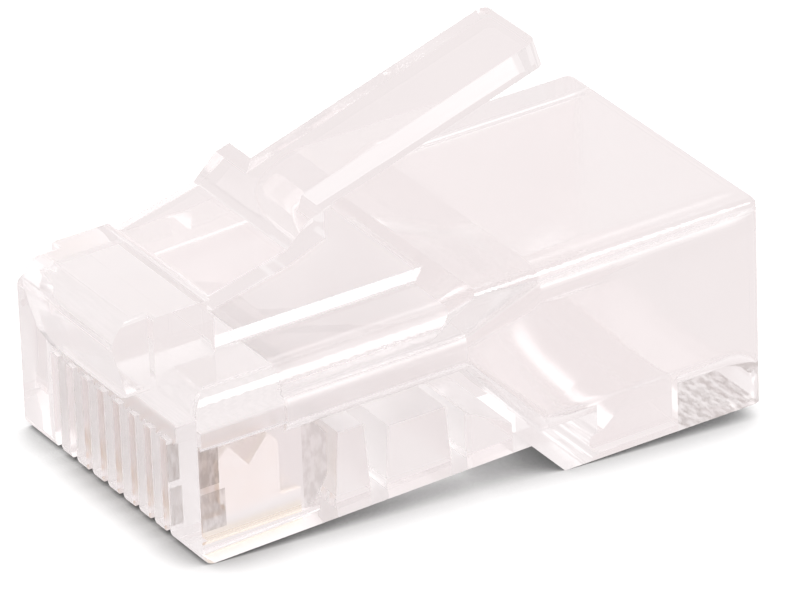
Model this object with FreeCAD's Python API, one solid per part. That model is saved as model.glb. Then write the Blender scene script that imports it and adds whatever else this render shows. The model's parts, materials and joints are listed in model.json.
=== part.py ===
import FreeCAD, Part
import math
import os

# RJ45 (8P8C) modular plug before crimping: a clear polycarbonate housing with its
# latch lever and strain-relief bar, and eight gold-plated contact blades.
# Millimetres. X is the width, +Y runs from the nose to the cable entry, +Z is up,
# towards the latch. The origin is the middle of the footprint, level with the
# underside of the rear block. Names ending in _from_nose count from the nose face.

# ---- driving dimensions: housing ----
housing_width = 11.68
housing_length = 22.60          # nose face to cable-entry face
rear_height = 7.95
nose_height = 6.26              # nose underside to its side shoulders
nose_lift = 1.14                # nose underside above the rear block's underside
nose_underside_rise = 0.26      # the nose underside climbs this much towards the step
step_from_nose = 13.10          # where the underside steps down to the rear block
step_run = 1.30
ramp_from_nose = 10.30          # where the top climbs to the rear block
ramp_run = 0.85
land_height = 0.34              # raised land under the latch
land_width = 6.20
land_chamfer = 0.27
nose_edge_radius = 0.75         # rounded top edges of the nose, front and sides
rear_edge_radius = 0.30
corner_radius = 0.40            # upright corners at the cable entry
nose_lip_radius = 0.45          # rounded bottom edge of the nose face
skirt_drop = 0.20               # the side walls reach below the ribs by this much in front
skirt_drop_rear = 0.10

# ---- latch root boss and latch lever ----
boss_top = 9.45
boss_top_width = 6.60
boss_brow_radius = 0.12         # top front edge of the root slab
bulge_width = 5.85
bulge_keel_width = 4.00         # flat underside of the bulge
bulge_bottom = 6.10
bulge_side_bottom = 6.57        # where its side walls start
bulge_keel_reach = 0.85         # how far the bulge stands in front of the nose face, low down
bulge_reach = 1.40              # and where it stands out most
bulge_brow_radius = 0.95        # the bulge rolls back to the boss top in this curve
bulge_toe_radius = 0.30
bulge_corner_radius = 0.25
bulge_depth = 0.45              # it runs on this far behind the nose face
boss_back_wall = 0.12           # from the boss's back face to the middle of the latch root
latch_root_from_nose = 2.45
latch_width = 6.00
latch_thickness = 0.60
latch_plate_length = 3.15       # root to the start of the ears
latch_plate_angle = 13.0
ear_rise = 0.85
ear_ramp_length = 0.90
ear_flat_length = 0.60
tongue_width = 3.25
tongue_thickness = 1.02
tongue_angle = 17.2
tongue_tip_from_nose = 16.45
tongue_tip_radius = 0.35

# ---- contacts ----
contact_count = 8
contact_pitch = 1.016
blade_thickness = 0.32
blade_side_clearance = 0.04
blade_front_from_nose = 0.70
blade_length = 3.87
blade_foot_height = 0.90
blade_height = 3.40
blade_bottom_recess = 0.10      # blade edge above the nose underside before crimping
blade_waist_front = 0.70        # the upper blade starts this far behind the foot's front
blade_waist_length = 2.37
blade_notch_radius = 0.20       # relief where the upper blade meets the foot
blade_lip_radius = 0.40
tine_depth = 0.95
tine_point_share = 0.35         # each tine's point, as a share of its half of the waist
crimp_travel = 0.55
slot_length = 5.60
slot_top_above_blade = 0.36
slot_chamfer_length = 0.85
slot_chamfer_height = 1.05
slot_heel_setback = 0.45        # the slot is this much shorter beside the blade foot
slot_heel_height = 1.15
slot_heel_rise = 0.75

# ---- cable path ----
wire_groove = 0.94              # each conductor lies in a half-round groove
wire_rib_drop = 0.25            # the ribs between the grooves stop this far below the wires' middle
wire_guide_length = 3.30
front_wall = 0.70
ribbon_width = 8.30
ribbon_height = 1.40
ribbon_corner_radius = 0.55
funnel_from_nose = 11.20
tunnel_from_nose = 13.90
tunnel_width = 10.40
tunnel_height = 6.10
tunnel_floor = 1.35
tunnel_corner_radius = 1.00
mouth_depth = 1.10              # the entry flares out over this length
mouth_side_flare = 0.12
mouth_top_flare = 0.08
mouth_floor_flare = 0.90
mouth_steps = 4

# ---- cored pockets in the nose underside ----
pocket_width = 8.40
pocket_web = 0.35               # wall between the contact slots and the first pocket
pocket_one_length = 1.00
pocket_one_height = 2.65
pocket_two_from_nose = 7.95
pocket_two_length = 2.25
pocket_two_height = 2.20
pocket_three_from_nose = 11.00
pocket_three_length = 1.85
pocket_three_height = 1.62
pocket_three_low_height = 0.58
pocket_draft = 0.35             # lean of the front and rear pocket walls

# ---- strain-relief bar ----
bar_width = 9.96
bar_side_clearance = 0.12
bar_hinge_from_nose = 16.00
bar_hinge_radius = 0.30
bar_length = 3.18
bar_height = 2.40
bar_recess = 0.12               # bar underside above the rear block's underside
bar_crest_length = 0.70
bar_heel_height = 1.75          # rear face of the bar, below its biting edge
hinge_clearance = 0.06

# ---- worked-out sizes ----
overall_length = housing_length + bulge_reach
nose_face_y = bulge_reach - overall_length / 2
nose_top = nose_lift + nose_height
nose_slope = nose_underside_rise / step_from_nose
ramp_end_from_nose = ramp_from_nose + ramp_run
slot_width = blade_thickness + 2 * blade_side_clearance
blade_bottom = nose_lift + blade_bottom_recess
slot_top = blade_bottom + blade_height + slot_top_above_blade
wire_height = blade_bottom + blade_height + crimp_travel
bar_hinge_height = bar_recess + bar_hinge_radius
window_end_from_nose = bar_hinge_from_nose + bar_length + bar_side_clearance
window_width = bar_width + 2 * bar_side_clearance
overshoot = 1.0                 # how far cutting tools run past a face
hair = 0.01                     # slack when edges are picked by where they are


def at(from_nose):
    """Y of a place given by its distance behind the nose face."""
    return nose_face_y + from_nose


def underside(from_nose):
    """Height of the nose underside at a distance behind the nose face."""
    return nose_lift + nose_slope * from_nose


def side_profile(points, width, x_middle=0.0):
    """Prism of a side outline: (from_nose, height) points pushed across the width."""
    x = x_middle - width / 2
    corners = [FreeCAD.Vector(x, at(y), z) for y, z in points]
    face = Part.Face(Part.makePolygon(corners + corners[:1]))
    return face.extrude(FreeCAD.Vector(width, 0, 0))


def front_profile(wire, y_start, y_end):
    """Prism of a front outline drawn at y = 0, from one distance to another."""
    face = Part.Face(wire)
    face.translate(FreeCAD.Vector(0, at(y_start), 0))
    return face.extrude(FreeCAD.Vector(0, y_end - y_start, 0))


def rounded_rectangle(width, low, high, radius):
    """Front outline of a rounded rectangle, centred on x = 0, at y = 0."""
    box = Part.makeBox(width, 1, high - low, FreeCAD.Vector(-width / 2, 0, low))
    upright = [e for e in box.Edges if abs(e.tangentAt(e.FirstParameter).y) > 0.9]
    rounded = box.makeFillet(radius, upright)
    front = min(rounded.Faces, key=lambda f: f.CenterOfMass.y)
    return front.OuterWire


def cross_rod(from_nose, height, radius, width):
    """Round rod lying across the plug."""
    start = FreeCAD.Vector(-width / 2, at(from_nose), height)
    return Part.makeCylinder(radius, width, start, FreeCAD.Vector(1, 0, 0))


def edges_where(shape, test):
    """Straight edges whose middle point and direction pass the test."""
    found = []
    for edge in shape.Edges:
        if edge.Curve.TypeId == "Part::GeomLine":
            middle = edge.valueAt((edge.FirstParameter + edge.LastParameter) / 2)
            if test(middle, edge.tangentAt(edge.FirstParameter)):
                found.append(edge)
    return found


def outer_shell():
    """Housing block: nose, underside step, ramp and rear block, with its edges rounded."""
    outline = [
        (0, nose_lift), (0, nose_top),
        (ramp_from_nose, nose_top), (ramp_end_from_nose, rear_height),
        (housing_length, rear_height), (housing_length, 0),
        (step_from_nose + step_run, 0), (step_from_nose, nose_lift + nose_underside_rise),
    ]
    block = side_profile(outline, housing_width)
    side = housing_width / 2 - hair
    split = at((ramp_from_nose + ramp_end_from_nose) / 2)

    def nose_rim(p, d):
        sides = abs(p.x) > side and p.y < split - ramp_run / 2
        return p.z > nose_top - hair and (sides or p.y < at(hair))

    def rear_rim(p, d):
        rear_top = p.z > rear_height - hair and p.y > split
        return rear_top and (abs(p.x) > side or p.y > at(housing_length) - hair)

    def entry_corners(p, d):
        return abs(d.z) > 0.9 and p.y > at(housing_length) - hair

    def nose_lip(p, d):
        return abs(d.x) > 0.9 and p.y < at(hair) and p.z < nose_top / 2

    block = block.makeFillet(corner_radius, edges_where(block, entry_corners))
    block = block.makeFillet(nose_lip_radius, edges_where(block, nose_lip))
    block = block.makeFillet(nose_edge_radius, edges_where(block, nose_rim))
    return block.makeFillet(rear_edge_radius, edges_where(block, rear_rim))


def latch_land():
    """Raised land on the nose top, running from the boss back into the ramp."""
    top = nose_top + land_height
    outline = [(0, nose_top - land_height), (0, top), (ramp_end_from_nose, top),
               (ramp_end_from_nose, nose_top - land_height)]
    land = side_profile(outline, land_width)
    rims = edges_where(land, lambda p, d: abs(d.y) > 0.9 and p.z > top - hair)
    return land.makeChamfer(land_chamfer, rims)


def latch_boss():
    """Boss on the nose face that the latch springs from: a root slab behind a rounded bulge."""
    back = latch_root_from_nose - boss_back_wall
    low = nose_top - nose_edge_radius
    slab = side_profile([(0, low), (0, boss_top), (back, boss_top), (back, low)], boss_top_width)

    def slab_brow(p, d):
        return abs(d.x) > 0.9 and p.y < at(hair) and p.z > boss_top - hair

    slab = slab.makeFillet(boss_brow_radius, edges_where(slab, slab_brow))
    socket = cross_rod(latch_root_from_nose, boss_top - latch_thickness / 2,
                       latch_thickness / 2 + hinge_clearance, boss_top_width + overshoot)
    return slab.cut(socket).fuse(front_bulge())


def front_bulge():
    """Bulge on the boss: a keeled front outline; from the side, a toe, a leaning face, a brow."""
    half, keel = bulge_width / 2, bulge_keel_width / 2
    outline = [(keel, bulge_bottom), (half, bulge_side_bottom), (half, boss_top)]
    outline += [(-x, z) for x, z in reversed(outline)]
    corners = [FreeCAD.Vector(x, at(-bulge_reach), z) for x, z in outline]
    bulge = Part.Face(Part.makePolygon(corners + corners[:1]))
    bulge = bulge.extrude(FreeCAD.Vector(0, bulge_reach + bulge_depth, 0))
    bulge = bulge.makeFillet(bulge_corner_radius,
                             edges_where(bulge, lambda p, d: abs(d.y) > 0.9))

    def point(from_nose, height):
        return FreeCAD.Vector(-half, at(from_nose), height)

    def quarter(middle_y, middle_z, run, rise):
        turn = math.sqrt(0.5)
        ends = point(middle_y - run, middle_z), point(middle_y, middle_z + rise)
        return Part.Arc(ends[0], point(middle_y - run * turn, middle_z + rise * turn), ends[1])

    toe = quarter(bulge_toe_radius - bulge_keel_reach, bulge_bottom + bulge_toe_radius,
                  bulge_toe_radius, -bulge_toe_radius)
    brow = quarter(bulge_brow_radius - bulge_reach, boss_top - bulge_brow_radius,
                   bulge_brow_radius, bulge_brow_radius)
    back_top, back_low = point(bulge_depth, boss_top), point(bulge_depth, bulge_bottom)
    side = Part.Wire([toe.toShape(), Part.makeLine(toe.StartPoint, brow.StartPoint),
                      brow.toShape(), Part.makeLine(brow.EndPoint, back_top),
                      Part.makeLine(back_top, back_low), Part.makeLine(back_low, toe.EndPoint)])
    return bulge.common(Part.Face(side).extrude(FreeCAD.Vector(bulge_width, 0, 0)))


def contact_x(index):
    """X of a contact, numbered from 1."""
    return (index - (contact_count + 1) / 2) * contact_pitch


def contact_slots():
    """Slots for the blades, open to the nose face and the underside."""
    heel = slot_length - slot_heel_setback
    heel_top = blade_bottom + slot_heel_height
    outline = [
        (-overshoot, -overshoot), (-overshoot, slot_top),
        (slot_length - slot_chamfer_length, slot_top),
        (slot_length, slot_top - slot_chamfer_height),
        (slot_length, heel_top), (heel, heel_top - slot_heel_rise), (heel, -overshoot),
    ]
    slots = [side_profile(outline, slot_width, contact_x(i + 1)) for i in range(contact_count)]
    span = contact_count * contact_pitch
    relief = [(-overshoot, -overshoot), (-overshoot, nose_lift + skirt_drop),
              (heel, underside(heel) + skirt_drop_rear), (heel, -overshoot)]
    return slots + [side_profile(relief, span)]


def wire_guide():
    """Flat-topped space over the blades, with a groove in its floor for each conductor."""
    along = FreeCAD.Vector(0, 1, 0)
    grooves = [Part.makeCylinder(wire_groove / 2, wire_guide_length,
                                 FreeCAD.Vector(contact_x(i + 1), at(front_wall), wire_height), along)
               for i in range(contact_count)]
    width = contact_x(contact_count) - contact_x(1) + wire_groove
    space = Part.makeBox(width, wire_guide_length, wire_groove / 2 + wire_rib_drop,
                         FreeCAD.Vector(-width / 2, at(front_wall), wire_height - wire_rib_drop))
    return grooves + [space]


def tunnel_section(side, top, floor):
    """Front outline of the cable tunnel, grown at its sides, its top and its floor."""
    return rounded_rectangle(tunnel_width + 2 * side, tunnel_floor - floor,
                             tunnel_floor + tunnel_height + top, tunnel_corner_radius)


def moved_back(wire, from_nose):
    """A front outline set at a distance behind the nose face."""
    copy = wire.copy()
    copy.translate(FreeCAD.Vector(0, at(from_nose), 0))
    return copy


def cable_cavity():
    """Flat ribbon space, funnel and round-cornered tunnel that the cable enters by."""
    ribbon = rounded_rectangle(ribbon_width, wire_height - ribbon_height / 2,
                               wire_height + ribbon_height / 2, ribbon_corner_radius)
    tunnel = tunnel_section(0, 0, 0)
    funnel = Part.makeLoft([moved_back(ribbon, funnel_from_nose),
                            moved_back(tunnel, tunnel_from_nose)], True, True)
    ribbon_space = front_profile(ribbon, front_wall + wire_guide_length, funnel_from_nose)
    tunnel_space = front_profile(tunnel, tunnel_from_nose, housing_length + overshoot)
    return [ribbon_space, funnel, tunnel_space]


def entry_flare():
    """Trumpet round the mouth of the cable entry, deepest over the floor."""
    sections = []
    for step in range(mouth_steps + 1):
        turn = math.pi / 2 * step / mouth_steps
        grow, back = 1 - math.cos(turn), mouth_depth * math.sin(turn)
        section = tunnel_section(mouth_side_flare * grow, mouth_top_flare * grow,
                                 mouth_floor_flare * grow)
        sections.append(moved_back(section, housing_length - mouth_depth + back))
    return Part.makeLoft(sections, True, True)


def underside_pockets():
    """Three cored pockets with leaning walls; the last follows the funnel floor."""
    pockets = []
    first = slot_length + pocket_web
    for start, length, height in ((first, pocket_one_length, pocket_one_height),
                                  (pocket_two_from_nose, pocket_two_length, pocket_two_height)):
        top = underside(start) + height
        outline = [(start - pocket_draft, -overshoot), (start, top),
                   (start + length, top), (start + length + pocket_draft, -overshoot)]
        pockets.append(side_profile(outline, pocket_width))
    start = pocket_three_from_nose
    end = start + pocket_three_length
    outline = [(start, -overshoot), (start, underside(start) + pocket_three_height),
               (end, underside(end) + pocket_three_low_height), (end, -overshoot)]
    pockets.append(side_profile(outline, pocket_width))
    return pockets


def bar_window():
    """Window through the underside that the strain-relief bar sits in."""
    top = tunnel_floor + tunnel_corner_radius
    outline = [(bar_hinge_from_nose, -overshoot), (bar_hinge_from_nose, top),
               (window_end_from_nose, top), (window_end_from_nose, -overshoot)]
    socket = cross_rod(bar_hinge_from_nose, bar_hinge_height,
                       bar_hinge_radius + hinge_clearance, window_width)
    return [side_profile(outline, window_width), socket]


def make_housing():
    housing = outer_shell().fuse([latch_land(), latch_boss()]).removeSplitter()
    cuts = contact_slots() + wire_guide() + cable_cavity() + [entry_flare()]
    cuts += underside_pockets() + bar_window()
    return housing.cut(cuts).removeSplitter()


def make_latch_lever():
    """Latch: root bead, wide plate, two stop ears and the long finger tongue."""
    root_z = boss_top - latch_thickness / 2
    lean = math.radians(latch_plate_angle)
    half = latch_thickness / 2
    run = latch_plate_length * math.cos(lean)
    rise = latch_plate_length * math.sin(lean)
    up = (-half * math.sin(lean), half * math.cos(lean))
    y0, z0 = latch_root_from_nose, root_z
    plate_top_start = (y0 + up[0], z0 + up[1])
    plate_top_end = (y0 + run + up[0], z0 + rise + up[1])
    plate_low_start = (y0 - up[0], z0 - up[1])
    plate_low_end = (y0 + run - up[0], z0 + rise - up[1])
    ear_top_z = plate_top_end[1] + ear_rise
    ear_top_y = plate_top_end[0] + ear_ramp_length
    ear_end_y = ear_top_y + ear_flat_length
    steep = math.tan(math.radians(tongue_angle))
    ear_end_z = ear_top_z + ear_flat_length * steep
    ear_low_z = ear_end_z - tongue_thickness / math.cos(math.radians(tongue_angle))
    ears = side_profile([plate_top_start, plate_top_end, (ear_top_y, ear_top_z),
                         (ear_end_y, ear_end_z), (ear_end_y, ear_low_z),
                         plate_low_end, plate_low_start], latch_width)
    bead = cross_rod(y0, z0, half, latch_width)
    tip_z = ear_top_z + (tongue_tip_from_nose - ear_top_y) * steep
    drop = tongue_thickness / math.cos(math.radians(tongue_angle))
    tip_back = tongue_thickness * math.sin(math.radians(tongue_angle))
    tongue = side_profile([(ear_top_y, ear_top_z), (tongue_tip_from_nose, tip_z),
                           (tongue_tip_from_nose + tip_back, tip_z - tongue_thickness),
                           (ear_top_y, ear_top_z - drop)], tongue_width)
    tip_y = at(tongue_tip_from_nose) - hair

    def tip_corners(p, d):
        return p.y > tip_y and abs(d.x) < 0.1 and abs(p.x) > tongue_width / 2 - hair

    tongue = tongue.makeFillet(tongue_tip_radius, edges_where(tongue, tip_corners))
    return ears.fuse([bead, tongue]).removeSplitter()


def make_strain_relief_bar():
    """Bar in the underside window: thin hinge bead and a wedge that bites the jacket."""
    y0, z0 = bar_hinge_from_nose, bar_hinge_height
    low = z0 - bar_hinge_radius
    end = y0 + bar_length
    crest = end - bar_crest_length
    outline = [(y0, low), (end, low), (end, low + bar_heel_height),
               (crest, low + bar_height), (y0 + bar_hinge_radius, z0 + bar_hinge_radius),
               (y0, z0 + bar_hinge_radius)]
    bar = side_profile(outline, bar_width)
    bead = cross_rod(y0, z0, bar_hinge_radius, bar_width)
    return bar.fuse(bead).removeSplitter()


def make_contact(index):
    """Flat blade: a long foot that meets the jack wire, and two tines for the conductor."""
    front = blade_front_from_nose
    back = front + blade_length
    foot_top = blade_bottom + blade_foot_height
    waist_front = front + blade_waist_front
    waist_back = waist_front + blade_waist_length
    top = blade_bottom + blade_height
    valley = top - tine_depth
    tine = blade_waist_length / 2
    point = tine * tine_point_share
    outline = [
        (front, blade_bottom), (back, blade_bottom), (back, foot_top),
        (waist_back, foot_top), (waist_back, top - point), (waist_back - point, top),
        (waist_front + tine, valley), (waist_front + point, top),
        (waist_front, top - point), (waist_front, foot_top), (front, foot_top),
    ]
    blade = side_profile(outline, blade_thickness, contact_x(index))
    notch = cross_rod(waist_front, foot_top + blade_notch_radius, blade_notch_radius,
                      blade_thickness + 2 * overshoot)
    notch.translate(FreeCAD.Vector(contact_x(index), 0, 0))
    blade = blade.cut(notch)

    def foot_front(p, d):
        return abs(d.x) > 0.9 and p.y < at(front) + hair and p.z < blade_bottom + hair

    return blade.makeFillet(blade_lip_radius, edges_where(blade, foot_front))


os.makedirs("parts", exist_ok=True)
parts = {
    "housing": make_housing(),
    "latch_lever": make_latch_lever(),
    "strain_relief_bar": make_strain_relief_bar(),
}
for number in range(1, contact_count + 1):
    parts["contact_%d" % number] = make_contact(number)
for name, shape in parts.items():
    shape.exportStep("parts/%s.step" % name)
    box = shape.BoundBox
    print(name, "valid", shape.isValid(), "solids", len(shape.Solids), "volume %.3f" % shape.Volume,
          "x %.2f %.2f y %.2f %.2f z %.2f %.2f" % (box.XMin, box.XMax, box.YMin, box.YMax,
                                                   box.ZMin, box.ZMax))
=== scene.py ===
import json
import math

import bpy
from mathutils import Matrix, Vector

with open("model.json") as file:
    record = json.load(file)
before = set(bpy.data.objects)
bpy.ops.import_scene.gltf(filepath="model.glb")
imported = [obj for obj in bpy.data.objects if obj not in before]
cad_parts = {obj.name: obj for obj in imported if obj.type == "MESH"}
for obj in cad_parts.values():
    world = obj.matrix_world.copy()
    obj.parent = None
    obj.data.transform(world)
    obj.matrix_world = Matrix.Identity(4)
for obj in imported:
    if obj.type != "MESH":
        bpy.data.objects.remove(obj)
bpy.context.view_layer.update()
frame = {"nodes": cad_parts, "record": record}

MM = 0.001
NOSE_Y = frame["record"]["mounts"][0]["pos_m"][1]      # the nose face


def at(from_nose):
    """Y of a place given in millimetres behind the nose face."""
    return NOSE_Y + from_nose * MM


# ---- camera: a long lens on a tripod, looking down at the nose and the right-hand side ----
CAMERA_AZIMUTH = 58.51
CAMERA_ELEVATION = 28.714
CAMERA_ROLL = -2.189
CAMERA_DISTANCE = 311.66 * MM
CAMERA_LENS = 416.04
CAMERA_AIM = Vector((0, at(11.4422), 4.9895 * MM))


def direction(azimuth, elevation):
    """Unit vector towards an azimuth, counted from the nose side to the right, and a height."""
    a, e = math.radians(azimuth), math.radians(elevation)
    return Vector((math.sin(a) * math.cos(e), -math.cos(a) * math.cos(e), math.sin(e)))


def make_camera():
    back = direction(CAMERA_AZIMUTH, CAMERA_ELEVATION)
    right = Vector((0, 0, 1)).cross(back).normalized()
    up = back.cross(right)
    roll = math.radians(CAMERA_ROLL)
    right, up = (right * math.cos(roll) + up * math.sin(roll),
                 up * math.cos(roll) - right * math.sin(roll))
    data = bpy.data.cameras.new("studio_camera")
    data.lens = CAMERA_LENS
    data.sensor_width = 36
    data.clip_start, data.clip_end = 0.01, 20
    data.dof.use_dof = False
    camera = bpy.data.objects.new("studio_camera", data)
    bpy.context.scene.collection.objects.link(camera)
    turn = Matrix((right, up, back)).transposed().to_4x4()
    camera.matrix_world = Matrix.Translation(CAMERA_AIM + back * CAMERA_DISTANCE) @ turn
    bpy.context.scene.camera = camera


# ---- small helpers for node trees ----
FLOAT, VECTOR = "NodeSocketFloat", "NodeSocketVector"


def add(tree, kind, settings=None, **values):
    """A node with its settings and inputs.

    An input is named, or numbered as i0, i1 and so on. It takes a value, or a socket to be
    linked to it.
    """
    node = tree.nodes.new(kind)
    for name, value in (settings or {}).items():
        setattr(node, name, value)
    for name, value in values.items():
        key = int(name[1:]) if name[0] == "i" and name[1:].isdigit() else name.replace("_", " ")
        socket = node.inputs[key]
        if isinstance(value, bpy.types.NodeSocket):
            tree.links.new(value, socket)
        else:
            socket.default_value = value
    return node


def maths(tree, operation, *values):
    """Result of a math node on numbers or sockets."""
    node = add(tree, "ShaderNodeMath", {"operation": operation},
               **{"i%d" % i: v for i, v in enumerate(values)})
    return node.outputs[0]


def facing_towards(tree, way, toward):
    """How far a direction socket points towards a fixed direction, from -1 to 1."""
    node = add(tree, "ShaderNodeVectorMath", {"operation": "DOT_PRODUCT"}, i0=way, i1=toward)
    return node.outputs["Value"]


def spread(tree, value, low, high, to_low=0.0, to_high=1.0):
    """A value smoothly carried from one range to another and held at its ends."""
    node = add(tree, "ShaderNodeMapRange", {"interpolation_type": "SMOOTHSTEP"},
               i0=value, i1=low, i2=high, i3=to_low, i4=to_high)
    return node.outputs[0]


def blend_colours(tree, share, first, second):
    """The first colour where the share is 0 and the second where it is 1."""
    node = tree.nodes.new("ShaderNodeMix")
    node.data_type = "RGBA"
    for key, value in ((0, share), (6, first), (7, second)):
        if isinstance(value, bpy.types.NodeSocket):
            tree.links.new(value, node.inputs[key])
        else:
            node.inputs[key].default_value = value
    return node.outputs[2]


def noise(tree, coordinates, grain, detail, shift=(0, 0, 0), scale=1.0, **values):
    """Noise stretched to a grain, which is a length for each axis."""
    stretched = add(tree, "ShaderNodeMapping", Vector=coordinates, Location=shift,
                    Scale=tuple(1 / length for length in grain))
    return add(tree, "ShaderNodeTexNoise", Vector=stretched.outputs[0], Scale=scale,
               Detail=detail, **values).outputs[0]


def new_group(name, inputs, outputs):
    """Empty node group: inputs are (name, type, value), outputs are (name, type)."""
    tree = bpy.data.node_groups.new(name, "ShaderNodeTree")
    for title, kind, value in inputs:
        tree.interface.new_socket(title, in_out="INPUT", socket_type=kind).default_value = value
    for title, kind in outputs:
        tree.interface.new_socket(title, in_out="OUTPUT", socket_type=kind)
    return tree, tree.nodes.new("NodeGroupInput"), tree.nodes.new("NodeGroupOutput")


def new_material(name):
    """Material with its tree and its main shader."""
    material = bpy.data.materials.new(name)
    material.use_nodes = True
    tree = material.node_tree
    return material, tree, tree.nodes["Principled BSDF"]


# ---- floor ----
FLOOR_TILT = math.atan2(-1.14, 14.2)        # the plug leans forward onto its nose
FLOOR_CONTACT = Vector((0, at(14.4), 0))
FLOOR_SIZE = 0.6
FLOOR_ALBEDO = 0.94
FLOOR_GLOW = (0.86, 0.795, 0.795, 1)        # what the clear pieces see of the floor
FLOOR_GLOW_RIGHT = (1.05, 1.0, 1.0, 1)      # the same on a strip that the blades mirror
GLOW_STRIP_STARTS = (3 * MM, 8 * MM)        # the strip's two edges, by distance to the right
GLOW_STRIP_ENDS = (14 * MM, 24 * MM)
CONTACT_REACH = 2.4 * MM                    # painted soft shadow round the foot of the plug
CONTACT_CLOSED, CONTACT_OPEN = 0.13, 0.90   # share of open sky where it is darkest and gone
CONTACT_DARK = 0.04
CONTACT_SAMPLES = 6


def make_floor():
    """Floor the camera sees under the lamps with a painted shadow; the clear pieces see it as a
    glow.
    """
    size = FLOOR_SIZE
    mesh = bpy.data.meshes.new("floor")
    corners = [(-size, -size, 0), (size, -size, 0), (size, size, 0), (-size, size, 0)]
    mesh.from_pydata(corners, [], [(0, 1, 2, 3)])
    floor = bpy.data.objects.new("floor", mesh)
    bpy.context.scene.collection.objects.link(floor)
    floor.matrix_world = (Matrix.Translation(FLOOR_CONTACT)
                          @ Matrix.Rotation(FLOOR_TILT, 4, "X"))
    material, tree, shader = new_material("studio_floor")
    by_camera = add(tree, "ShaderNodeLightPath").outputs["Is Camera Ray"]
    # painted contact shadow: the floor's colour darkens where the plug shuts out the sky within
    # reach
    nearby = add(tree, "ShaderNodeAmbientOcclusion", {"samples": CONTACT_SAMPLES},
                 Distance=CONTACT_REACH)
    painted_shadow_albedo = add(tree, "ShaderNodeMapRange", i0=nearby.outputs["AO"], i1=CONTACT_CLOSED,
              i2=CONTACT_OPEN, i3=CONTACT_DARK, i4=FLOOR_ALBEDO)
    tree.links.new(maths(tree, "MULTIPLY", painted_shadow_albedo.outputs[0], by_camera), shader.inputs["Base Color"])
    place = add(tree, "ShaderNodeNewGeometry").outputs["Position"]
    rightward = add(tree, "ShaderNodeSeparateXYZ", Vector=place).outputs[0]
    on_strip = maths(tree, "MULTIPLY", spread(tree, rightward, *GLOW_STRIP_STARTS),
                     spread(tree, rightward, *GLOW_STRIP_ENDS, 1.0, 0.0))
    glow = blend_colours(tree, on_strip, FLOOR_GLOW, FLOOR_GLOW_RIGHT)
    glow = blend_colours(tree, by_camera, glow, (0, 0, 0, 1))
    tree.links.new(glow, shader.inputs["Emission Color"])
    shader.inputs["Emission Strength"].default_value = 1.0
    shader.inputs["Roughness"].default_value = 1.0
    shader.inputs["Specular IOR Level"].default_value = 0.0
    mesh.materials.append(material)


# ---- sky and lamps ----
SKY_ABOVE = (0.95, 0.90, 0.90, 1)
SKY_BESIDE_CAMERA = (0.82, 0.775, 0.775, 1)
SKY_BEHIND = (1.30, 1.24, 1.24, 1)          # mirrored by the faces that look up
BESIDE_CAMERA = (direction(CAMERA_AZIMUTH, 35), 0.1, 0.95)      # way, faint from, full at
BEHIND = (direction(CAMERA_AZIMUTH + 180, 28.7), 0.90, 0.98)
SKY_ON_FLOOR = 0.42                         # share of the sky that lights matt surfaces
BACKDROP = 1.2
KEY_FROM, KEY_SIZE, KEY_POWER = direction(CAMERA_AZIMUTH + 180, 55), (0.34, 0.30), 3.6
STRIP_FROM, STRIP_SIZE, STRIP_POWER = direction(133.7, 48.3), (0.20, 0.34), 1.1
LAMP_DISTANCE = 0.5


def make_world():
    """White backdrop for the camera, and a soft sky for everything else."""
    world = bpy.data.worlds.new("studio")
    bpy.context.scene.world = world
    world.use_nodes = True
    world.cycles.sampling_method = "NONE"
    tree = world.node_tree
    tree.nodes.clear()
    way = add(tree, "ShaderNodeTexCoord").outputs["Generated"]
    sky = SKY_ABOVE
    for patch, (toward, faint, full) in ((SKY_BESIDE_CAMERA, BESIDE_CAMERA),
                                         (SKY_BEHIND, BEHIND)):
        share = spread(tree, facing_towards(tree, way, toward), faint, full)
        sky = blend_colours(tree, share, sky, patch)
    path = add(tree, "ShaderNodeLightPath")
    share = maths(tree, "MULTIPLY_ADD", path.outputs["Is Diffuse Ray"], SKY_ON_FLOOR - 1, 1.0)
    seen = add(tree, "ShaderNodeBackground", Color=sky, Strength=share)
    white = add(tree, "ShaderNodeBackground", Color=(1, 1, 1, 1), Strength=BACKDROP)
    mix = add(tree, "ShaderNodeMixShader", i0=path.outputs["Is Camera Ray"],
              i1=seen.outputs[0], i2=white.outputs[0])
    add(tree, "ShaderNodeOutputWorld", Surface=mix.outputs[0])


def softbox(name, toward, size, power):
    """Rectangular lamp that faces the plug from a direction."""
    light = bpy.data.lights.new(name, "AREA")
    light.shape = "RECTANGLE"
    light.size, light.size_y = size
    light.energy = power
    lamp = bpy.data.objects.new(name, light)
    bpy.context.scene.collection.objects.link(lamp)
    lamp.matrix_world = (Matrix.Translation(CAMERA_AIM + toward * LAMP_DISTANCE)
                         @ (-toward).to_track_quat("-Z", "Y").to_matrix().to_4x4())
    return lamp


# ---- clear polycarbonate ----
TINT, PALER_TINT = (0.985, 0.965, 0.965, 1), (0.997, 0.977, 0.977, 1)
POLYCARBONATE_IOR = 1.585
RIPPLE_HEIGHT = 0.004 * MM
FLOW_GRAIN = (0.9 * MM, 3.5 * MM, 0.9 * MM)        # melt flow is drawn out along the plug
CLOUD_SCALE = 0.35
CLOUD_ROUGHNESS = 0.02
LUMPS_PER_METRE = 1 / (0.35 * MM)
# grain of the patches that break up the painted shade and painted light
TONE_PATCH_GRAIN = (0.9 * MM, 0.22 * MM, 0.5 * MM)
LAMP_PASSED, LAMP_HELD_BACK = (0.994, 0.992, 0.992, 1), (0.12, 0.12, 0.12, 1)
HELD_BACK_AT_RIM = (0.6, 0.98, 0.0, 0.3)           # from and to facing, from and to share
DEEPEST_BOUNCE = 6.5
INNER_LIGHT = (0.86, 0.80, 0.80, 1)


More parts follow.
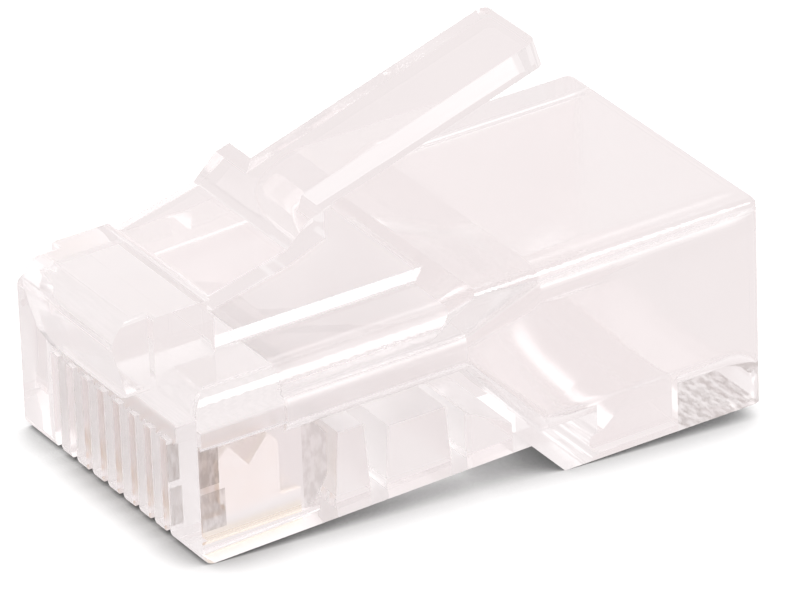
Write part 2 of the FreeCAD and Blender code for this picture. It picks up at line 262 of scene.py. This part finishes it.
def moulded_skin():
    """Skin of a clear moulding: melt-flow ripples and faint cloudiness."""
    tree, given, out = new_group(
        "moulded_skin", [("Polish", FLOAT, 0.03), ("Seed", VECTOR, (0, 0, 0))],
        [("Height", FLOAT), ("Roughness", FLOAT), ("Cloud", FLOAT)])
    surface = add(tree, "ShaderNodeTexCoord").outputs["Object"]
    seed = given.outputs["Seed"]
    ripples = noise(tree, surface, FLOW_GRAIN, 1.0, seed, Roughness=0.45)
    cloud = noise(tree, surface, (MM, MM, MM), 1.0, seed, CLOUD_SCALE)
    rough = maths(tree, "MULTIPLY_ADD", spread(tree, cloud, 0.4, 0.7), CLOUD_ROUGHNESS,
                  given.outputs["Polish"])
    tree.links.new(ripples, out.inputs["Height"])
    tree.links.new(rough, out.inputs["Roughness"])
    tree.links.new(cloud, out.inputs["Cloud"])
    return tree


def inside_box(tree, low, high):
    """Mask that is 1 inside a box given by two corners."""
    middle, half_size = (Vector(low) + Vector(high)) / 2, (Vector(high) - Vector(low)) / 2
    surface = add(tree, "ShaderNodeTexCoord").outputs["Object"]
    offset = add(tree, "ShaderNodeVectorMath", {"operation": "SUBTRACT"}, i0=surface, i1=middle)
    away = add(tree, "ShaderNodeVectorMath", {"operation": "ABSOLUTE"}, i0=offset.outputs[0])
    beyond = add(tree, "ShaderNodeVectorMath", {"operation": "SUBTRACT"},
                 i0=away.outputs[0], i1=half_size)
    axes = add(tree, "ShaderNodeSeparateXYZ", Vector=beyond.outputs[0])
    furthest = maths(tree, "MAXIMUM", maths(tree, "MAXIMUM", axes.outputs[0], axes.outputs[1]),
                     axes.outputs[2])
    return maths(tree, "LESS_THAN", furthest, 0.0)


def patchy_painted_tones(tree):
    """Patches of the painted shade and painted light on the inner walls, drawn out along the slots.
    """
    surface = add(tree, "ShaderNodeTexCoord").outputs["Object"]
    return noise(tree, surface, TONE_PATCH_GRAIN, 2.0)


def polycarbonate(name, skin_group, polish, seed, cored=(), painted_tone_boxes=(), uneven=()):
    """Clear moulding: refracting walls that pass lamp light on to the floor.

    Cored boxes are rougher and flat. Uneven boxes have a swollen skin. A box of painted tones
    shows some of a colour as emission on its faces where they are seen through one wall: a
    dark colour is painted shade and a pale one is painted light.
    """
    material, tree, shader = new_material(name)
    skin = add(tree, "ShaderNodeGroup", {"node_tree": skin_group}, Polish=polish, Seed=seed)
    rough, height = skin.outputs["Roughness"], skin.outputs["Height"]
    if uneven:
        surface = add(tree, "ShaderNodeTexCoord").outputs["Object"]
        lumps = add(tree, "ShaderNodeTexNoise", Vector=surface, Scale=LUMPS_PER_METRE, Detail=1.0)
    for low, high, swell in uneven:
        swell = maths(tree, "MULTIPLY", inside_box(tree, low, high), swell)
        height = maths(tree, "MULTIPLY_ADD", lumps.outputs[0], swell, height)
    for low, high, roughness in cored:
        mask = inside_box(tree, low, high)
        rough = maths(tree, "MULTIPLY_ADD", mask, roughness, rough)
        height = maths(tree, "MULTIPLY", height, maths(tree, "SUBTRACT", 1.0, mask))
    bump = add(tree, "ShaderNodeBump", Strength=1.0, Distance=RIPPLE_HEIGHT, Height=height)
    colour = blend_colours(tree, spread(tree, skin.outputs["Cloud"], 0.3, 0.7), TINT, PALER_TINT)
    tree.links.new(colour, shader.inputs["Base Color"])
    tree.links.new(rough, shader.inputs["Roughness"])
    tree.links.new(bump.outputs[0], shader.inputs["Normal"])
    shader.inputs["IOR"].default_value = POLYCARBONATE_IOR
    shader.inputs["Transmission Weight"].default_value = 1.0
    path = add(tree, "ShaderNodeLightPath")
    depth = path.outputs["Ray Depth"]
    mix = shader
    if painted_tone_boxes:
        one_wall = maths(tree, "COMPARE", depth, 1.0, 0.5)
        tone_patches = patchy_painted_tones(tree)
    # painted tones: each box's colour shows as emission where seen through one wall, dark ones as
    # painted shade and pale ones as painted light
    for low, high, painted_tone_colour, most, least in painted_tone_boxes:
        seen_inside = maths(tree, "MULTIPLY", inside_box(tree, low, high), one_wall)
        share = maths(tree, "MULTIPLY", spread(tree, tone_patches, 0.35, 0.65, least, 1.0), most)
        painted_tone_shader = add(tree, "ShaderNodeEmission", Color=painted_tone_colour, Strength=1.0)
        mix = add(tree, "ShaderNodeMixShader", i0=maths(tree, "MULTIPLY", seen_inside, share),
                  i1=mix.outputs[0], i2=painted_tone_shader.outputs[0])
    # light caught between many faces ends at one mean level
    inner = add(tree, "ShaderNodeEmission", Color=INNER_LIGHT, Strength=1.0)
    mix = add(tree, "ShaderNodeMixShader", i0=maths(tree, "GREATER_THAN", depth, DEEPEST_BOUNCE),
              i1=mix.outputs[0], i2=inner.outputs[0])
    # lamp light passes on to the floor, held back a little at the rims
    facing = add(tree, "ShaderNodeLayerWeight", Blend=0.5).outputs["Facing"]
    passed = blend_colours(tree, spread(tree, facing, *HELD_BACK_AT_RIM),
                           LAMP_PASSED, LAMP_HELD_BACK)
    clear = add(tree, "ShaderNodeBsdfTransparent", Color=passed)
    to_floor = maths(tree, "MAXIMUM", path.outputs["Is Shadow Ray"], path.outputs["Is Diffuse Ray"])
    mix = add(tree, "ShaderNodeMixShader", i0=to_floor, i1=mix.outputs[0], i2=clear.outputs[0])
    tree.links.new(mix.outputs[0], tree.nodes["Material Output"].inputs["Surface"])
    return material


# ---- gold blades ----
FOOT_FADE = (1.95 * MM, 2.25 * MM)          # the foot of a blade is brighter than its waist
FOOT_GOLD = (1, 1, 1, 1)
LOWER_EDGE_FADE = (1.50 * MM, 1.85 * MM)    # and its lower edge is warm
LOWER_EDGE_GOLD = (1, 0.94, 0.82, 1)
FACE_GOLD, PALE_FACE_GOLD = (0.99, 0.93, 0.90, 1), (1.0, 0.96, 0.94, 1)
SHEARED_GOLD, PALE_SHEARED_GOLD = (0.78, 0.60, 0.46, 1), (0.92, 0.78, 0.64, 1)
# paler colour of the sheared edges that face up: painted light from above
PAINTED_TOP_LIGHT_GOLD = (1.0, 0.94, 0.88, 1)
DRAWN_GRAIN = (0.2 * MM, 1.6 * MM, 0.05 * MM)
MOTTLE_GRAIN = (0.5 * MM,) * 3
FACE_ROUGHNESS, DRAWN_ROUGHNESS, SHEARED_ROUGHNESS = 0.12, 0.10, 0.22
DRAWN_HEIGHT = 0.0015 * MM


def gold(name):
    """Stamped blade: bright plating, drawn lines along the strip and duller sheared edges."""
    material, tree, shader = new_material(name)
    surface = add(tree, "ShaderNodeTexCoord").outputs["Object"]
    drawn = noise(tree, surface, DRAWN_GRAIN, 3.0)
    mottle = noise(tree, surface, MOTTLE_GRAIN, 4.0)
    geometry = add(tree, "ShaderNodeNewGeometry")
    normal = add(tree, "ShaderNodeSeparateXYZ", Vector=geometry.outputs["True Normal"])
    sheared = spread(tree, maths(tree, "ABSOLUTE", normal.outputs[0]), 0.5, 0.9, 1.0, 0.0)
    height = add(tree, "ShaderNodeSeparateXYZ", Vector=surface).outputs[2]
    face = blend_colours(tree, spread(tree, mottle, 0.35, 0.65), FACE_GOLD, PALE_FACE_GOLD)
    face = blend_colours(tree, spread(tree, height, *FOOT_FADE), FOOT_GOLD, face)
    face = blend_colours(tree, spread(tree, height, *LOWER_EDGE_FADE), LOWER_EDGE_GOLD, face)
    edge = blend_colours(tree, spread(tree, mottle, 0.4, 0.6), SHEARED_GOLD, PALE_SHEARED_GOLD)
    # painted light: sheared edges that face up are painted paler, as if lit from above
    painted_top_light = spread(tree, normal.outputs[2], 0.3, 0.7)
    edge = blend_colours(tree, painted_top_light, edge, PAINTED_TOP_LIGHT_GOLD)
    tree.links.new(blend_colours(tree, sheared, face, edge), shader.inputs["Base Color"])
    rough = maths(tree, "MULTIPLY_ADD", drawn, DRAWN_ROUGHNESS, FACE_ROUGHNESS)
    rough = maths(tree, "MULTIPLY_ADD", sheared, SHEARED_ROUGHNESS, rough)
    tree.links.new(rough, shader.inputs["Roughness"])
    bump = add(tree, "ShaderNodeBump", Strength=1.0, Distance=DRAWN_HEIGHT, Height=drawn)
    tree.links.new(bump.outputs[0], shader.inputs["Normal"])
    shader.inputs["Metallic"].default_value = 1.0
    return material


# ---- finish of the CAD nodes ----
MOULDED_EDGE, STAMPED_EDGE = 0.05 * MM, 0.02 * MM
SAME_POINT = 1e-7
SAME_FLAT = math.radians(0.3)
SHARP_EDGE = math.radians(28)


def dress(node, material, edge_width):
    """A CAD node's finish: welded, its flats joined and its sharp edges broken."""
    part = frame["nodes"][node]
    part.data.materials.clear()
    part.data.materials.append(material)
    with bpy.context.temp_override(object=part, active_object=part, selected_objects=[part]):
        bpy.ops.mesh.customdata_custom_splitnormals_clear()
    part.data.shade_smooth()
    weld = part.modifiers.new("weld", "WELD")
    weld.merge_threshold = SAME_POINT
    flats = part.modifiers.new("flats", "DECIMATE")
    flats.decimate_type = "DISSOLVE"
    flats.angle_limit = SAME_FLAT
    edges = part.modifiers.new("broken_edges", "BEVEL")
    edges.width = edge_width
    edges.segments = 2
    edges.limit_method = "ANGLE"
    edges.angle_limit = SHARP_EDGE
    edges.use_clamp_overlap = True
    edges.harden_normals = False
    normals = part.modifiers.new("normals", "WEIGHTED_NORMAL")
    normals.keep_sharp = False
    normals.mode = "FACE_AREA"
    normals.weight = 100


# ---- boxes of the body, in millimetres: across, behind the nose face, and up ----
WIRE_SPACE = [((-4.3, 0.1, 1.5), (4.3, 11.2, 6.4), 0.25),       # wire guide and blade slots
              ((-3.4, -1.6, 6.0), (3.4, 0.6, 9.6), 0.10),       # bulge ahead of the nose
              ((-5.25, 11.2, 1.3), (5.25, 22.3, 7.5), 0.14)]    # cable tunnel
SWOLLEN_RIMS = [((5.3, 10.8, 7.5), (5.95, 22.7, 8.0), 6.0),     # upper edge of the rear block
                ((5.0, 0.2, 6.5), (5.95, 10.6, 7.5), 2.5)]      # upper edge of the nose
# tones painted on inner faces seen through one wall: a pale painted light and a dark painted shade
PAINTED_LIGHT, PAINTED_SHADE = (0.92, 0.86, 0.86, 1), (0.30, 0.24, 0.22, 1)
PAINTED_TONE_BOXES = [((-4.15, 0.6, 5.55), (4.15, 4.1, 5.80), PAINTED_LIGHT, 0.8, 0.9),       # painted light on the roof of the wire guide
         ((-5.9, 19.35, -0.1), (5.9, 22.5, 1.45), PAINTED_SHADE, 0.55, 0.2),    # painted shade on the floor of the cable mouth
         ((3.6, -0.1, 3.40), (3.9, 1.4, 4.85), PAINTED_SHADE, 0.75, 0.5),       # painted shade on the slot wall, upper
         ((3.6, 0.1, 1.70), (3.9, 1.6, 3.15), PAINTED_SHADE, 0.60, 0.5),        # painted shade on the slot wall, lower
         ((3.6, 4.65, 1.3), (3.9, 5.65, 4.9), PAINTED_SHADE, 0.35, 0.3)]        # painted shade on the rear end of the slot


def placed(boxes):
    """The same boxes in metres in the part's own frame."""
    def corner(x, from_nose, z):
        return x * MM, at(from_nose), z * MM
    return [(corner(*low), corner(*high), *values) for low, high, *values in boxes]


make_camera()
make_floor()
make_world()
key = softbox("key", KEY_FROM, KEY_SIZE, KEY_POWER)
key.visible_glossy = key.visible_transmission = False
strip = softbox("strip", STRIP_FROM, STRIP_SIZE, STRIP_POWER)
strip.visible_diffuse = strip.visible_transmission = False

skin_group = moulded_skin()
finishes = {
    "housing": polycarbonate("clear_body", skin_group, 0.03, (0, 0, 0), placed(WIRE_SPACE),
                             placed(PAINTED_TONE_BOXES), placed(SWOLLEN_RIMS)),
    "latch_lever": polycarbonate("clear_latch", skin_group, 0.03, (3.7, 1.9, 5.3)),
    "strain_relief_bar": polycarbonate("clear_bar", skin_group, 0.05, (8.1, 4.2, 2.6)),
}
gold_plate = gold("gold_plating")
for name in frame["nodes"]:
    if name.startswith("contact"):
        dress(name, gold_plate, STAMPED_EDGE)
    else:
        dress(name, finishes[name], MOULDED_EDGE)

scene = bpy.context.scene
scene.view_settings.view_transform = "Standard"
scene.view_settings.look = "None"
scene.view_settings.gamma = 1.2
scene.cycles.max_bounces = 32
scene.cycles.transmission_bounces = 32
scene.cycles.glossy_bounces = 16
scene.cycles.transparent_max_bounces = 32
